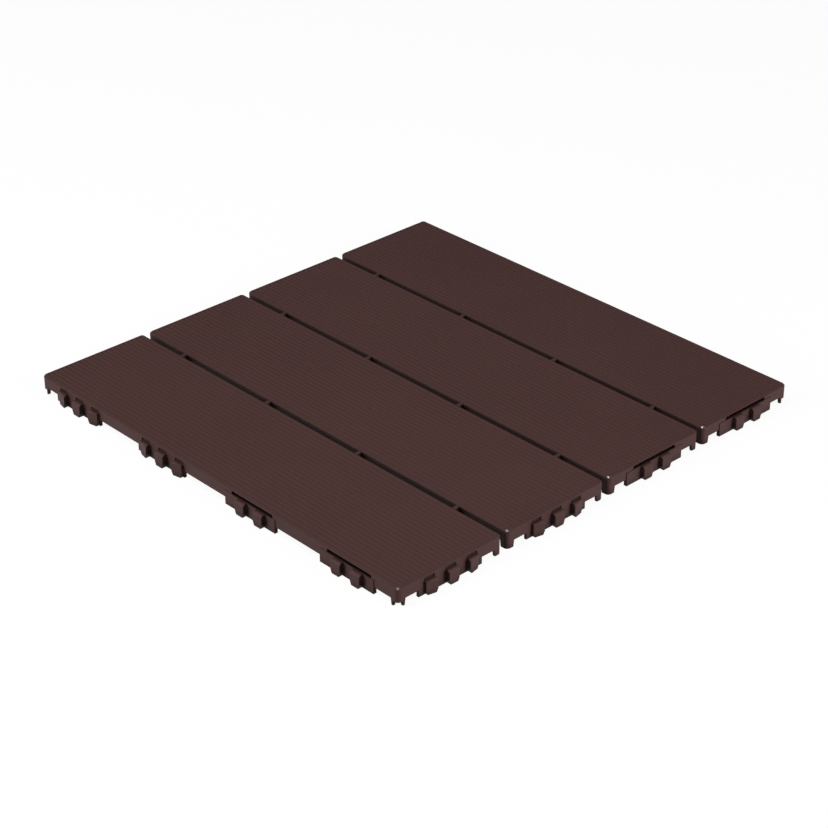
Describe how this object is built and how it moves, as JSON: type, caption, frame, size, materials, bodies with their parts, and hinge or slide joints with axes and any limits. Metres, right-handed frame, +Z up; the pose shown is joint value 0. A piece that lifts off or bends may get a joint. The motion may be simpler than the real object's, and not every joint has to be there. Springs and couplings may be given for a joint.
{
  "type": "interlocking deck tile",
  "caption": "Square outdoor floor tile of parallel finely grooved boards with drain gaps, on short feet, with locking lugs along all its sides; tiles click together to cover a terrace.",
  "frame": {"origin": "centre of the footprint, on the ground", "axes": "+X along the boards, towards the side seen front-right in the picture; +Y across the boards, away from the viewer; +Z up, out of the walked-on face"},
  "size_m": [0.3826, 0.3826, 0.014],
  "materials": {
    "moulding": "semi-matte dark brown"
  },
  "bodies": {
    "root": {"deck_tile": "moulding"}
  },
  "joints": []
}
